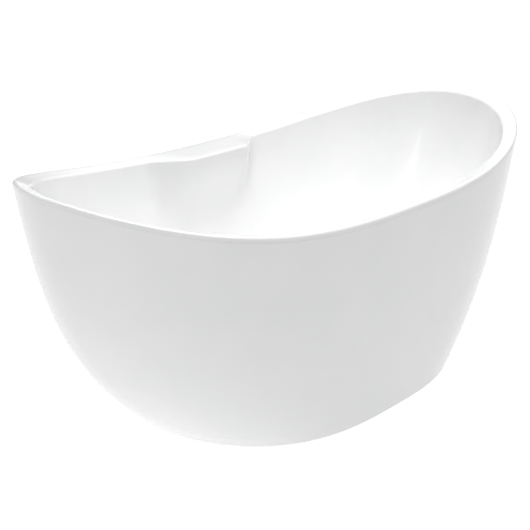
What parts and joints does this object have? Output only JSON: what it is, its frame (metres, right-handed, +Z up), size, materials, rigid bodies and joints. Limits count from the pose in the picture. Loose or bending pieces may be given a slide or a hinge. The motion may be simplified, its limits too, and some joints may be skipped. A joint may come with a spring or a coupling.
{
  "type": "freestanding bathtub",
  "caption": "Double-slipper freestanding acrylic bath with a tap ledge on one long side, on screw feet, with a push-push waste, overflow and low trap.",
  "frame": {"origin": "on the floor under the middle of the bath", "axes": "+X along the length, +Y towards the side with the tap ledge, +Z up"},
  "size_m": [1.6, 0.83, 0.7],
  "materials": {
    "acrylic": "glossy white sanitary acrylic",
    "glass_fibre": "rough resin and chopped glass",
    "bonding_paste": "set paste",
    "plywood": "sanded birch plywood",
    "galvanised_steel": "galvanised",
    "zinc_steel": "zinc plated",
    "foot_plastic": "moulded",
    "chrome": "polished",
    "rubber": "matt",
    "hose_plastic": "corrugated",
    "white_plastic": "moulded"
  },
  "bodies": {
    "tub": {"outer_shell": "acrylic", "basin": "acrylic", "basin_laminate": "glass_fibre", "rim_bond": "bonding_paste", "ledge_board": "plywood", "base_board": "plywood", "cross_rail_left": "galvanised_steel", "cross_rail_right": "galvanised_steel", "long_rail_front": "galvanised_steel", "long_rail_back": "galvanised_steel", "rail_cleats": "galvanised_steel", "rail_screws": "zinc_steel", "skirt_blocks": "plywood", "skirt_brackets": "galvanised_steel", "skirt_screws": "zinc_steel", "weld_nuts": "zinc_steel", "lock_nuts": "zinc_steel", "waste_flange": "chrome", "flange_gasket": "rubber", "click_cartridge": "zinc_steel", "lower_gasket": "rubber", "waste_body": "white_plastic", "trap_body": "white_plastic", "trap_inlet_nut": "white_plastic", "trap_inlet_seal": "rubber", "trap_cleanout_cap": "white_plastic", "cleanout_seal": "rubber", "outlet_nut": "white_plastic", "outlet_seal": "rubber", "outlet_elbow": "white_plastic", "overflow_cover": "chrome", "overflow_spout": "chrome", "overflow_gasket": "rubber", "overflow_elbow": "white_plastic", "overflow_hose": "hose_plastic", "hose_nut_top": "white_plastic", "hose_nut_bottom": "white_plastic"},
    "foot_1_pad": {"foot_pad_1": "foot_plastic"},
    "foot_2_pad": {"foot_pad_2": "foot_plastic"},
    "foot_3_pad": {"foot_pad_3": "foot_plastic"},
    "foot_4_pad": {"foot_pad_4": "foot_plastic"},
    "foot_1_stud": {"foot_stud_1": "zinc_steel"},
    "foot_2_stud": {"foot_stud_2": "zinc_steel"},
    "foot_3_stud": {"foot_stud_3": "zinc_steel"},
    "foot_4_stud": {"foot_stud_4": "zinc_steel"},
    "plug": {"waste_plug": "chrome", "plug_stem": "zinc_steel", "plug_seal": "rubber"}
  },
  "joints": [
    {"name": "plug_lift", "type": "slide", "parent": "tub", "child": "plug", "axis": [0, 0, 1], "range_m": [0, 0.008]},
    {"name": "foot_1_height", "type": "slide", "parent": "tub", "child": "foot_1_pad", "axis": [0, 0, 1], "range_m": [-0.025, 0]},
    {"name": "foot_1_turn", "type": "hinge", "parent": "foot_1_pad", "child": "foot_1_stud", "pos_m": [-0.3, -0.285, 0.06], "axis": [0, 0, 1], "range_deg": [-5143, 0]},
    {"name": "foot_2_height", "type": "slide", "parent": "tub", "child": "foot_2_pad", "axis": [0, 0, 1], "range_m": [-0.025, 0]},
    {"name": "foot_2_turn", "type": "hinge", "parent": "foot_2_pad", "child": "foot_2_stud", "pos_m": [0.3, -0.285, 0.06], "axis": [0, 0, 1], "range_deg": [-5143, 0]},
    {"name": "foot_3_height", "type": "slide", "parent": "tub", "child": "foot_3_pad", "axis": [0, 0, 1], "range_m": [-0.025, 0]},
    {"name": "foot_3_turn", "type": "hinge", "parent": "foot_3_pad", "child": "foot_3_stud", "pos_m": [-0.3, 0.285, 0.06], "axis": [0, 0, 1], "range_deg": [-5143, 0]},
    {"name": "foot_4_height", "type": "slide", "parent": "tub", "child": "foot_4_pad", "axis": [0, 0, 1], "range_m": [-0.025, 0]},
    {"name": "foot_4_turn", "type": "hinge", "parent": "foot_4_pad", "child": "foot_4_stud", "pos_m": [0.3, 0.285, 0.06], "axis": [0, 0, 1], "range_deg": [-5143, 0]}
  ],
  "couplings": [
    {"joint": "foot_1_turn", "follows": "foot_1_height", "rad_per_m": 3590.4},
    {"joint": "foot_2_turn", "follows": "foot_2_height", "rad_per_m": 3590.4},
    {"joint": "foot_3_turn", "follows": "foot_3_height", "rad_per_m": 3590.4},
    {"joint": "foot_4_turn", "follows": "foot_4_height", "rad_per_m": 3590.4}
  ]
}
